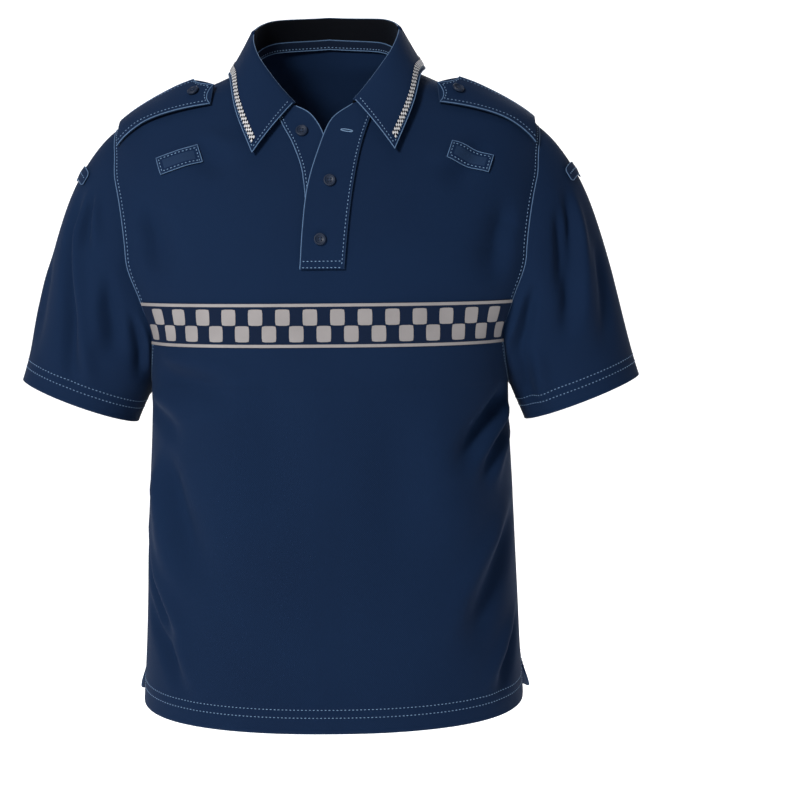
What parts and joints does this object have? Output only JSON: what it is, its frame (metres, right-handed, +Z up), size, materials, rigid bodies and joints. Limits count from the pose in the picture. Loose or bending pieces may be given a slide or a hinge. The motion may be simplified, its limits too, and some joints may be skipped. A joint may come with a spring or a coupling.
{
  "type": "police polo shirt",
  "caption": "Short-sleeved police uniform polo shirt, filled out as worn, with open collar, button placket, shoulder straps and a checked chest band.",
  "frame": {"origin": "middle of the neck opening, level with the points where the shoulder seams meet the neckline, where the wearer's neck and shoulders hold the shirt", "axes": "+Z up the wearer's body, -Y the front of the shirt, +X the wearer's left"},
  "size_m": [0.689, 0.272, 0.7731],
  "materials": {
    "navy_cloth": "fine navy knit, matt with a slight sheen, steel-blue edge stitching",
    "neck_tape_cloth": "dark navy twill tape",
    "check_band": "silver-grey reflective checks and lines on navy",
    "check_tape": "woven white and black check tape",
    "button_plastic": "navy polyester button, satin gloss"
  },
  "bodies": {
    "root": {"front": "navy_cloth", "back": "navy_cloth", "sleeve_left": "navy_cloth", "sleeve_right": "navy_cloth", "collar_stand": "navy_cloth", "collar_leaf": "navy_cloth", "collar_check_tape": "check_tape", "neck_tape": "neck_tape_cloth", "placket_under": "navy_cloth", "placket_over": "navy_cloth", "chest_band_front": "check_band", "chest_band_back": "check_band", "epaulette_left": "navy_cloth", "epaulette_right": "navy_cloth", "epaulette_button_left": "button_plastic", "epaulette_button_right": "button_plastic", "chest_loop_left": "navy_cloth", "chest_loop_right": "navy_cloth", "sleeve_tab_left": "navy_cloth", "sleeve_tab_right": "navy_cloth", "button_top": "button_plastic", "button_middle": "button_plastic", "button_bottom": "button_plastic"}
  },
  "joints": []
}
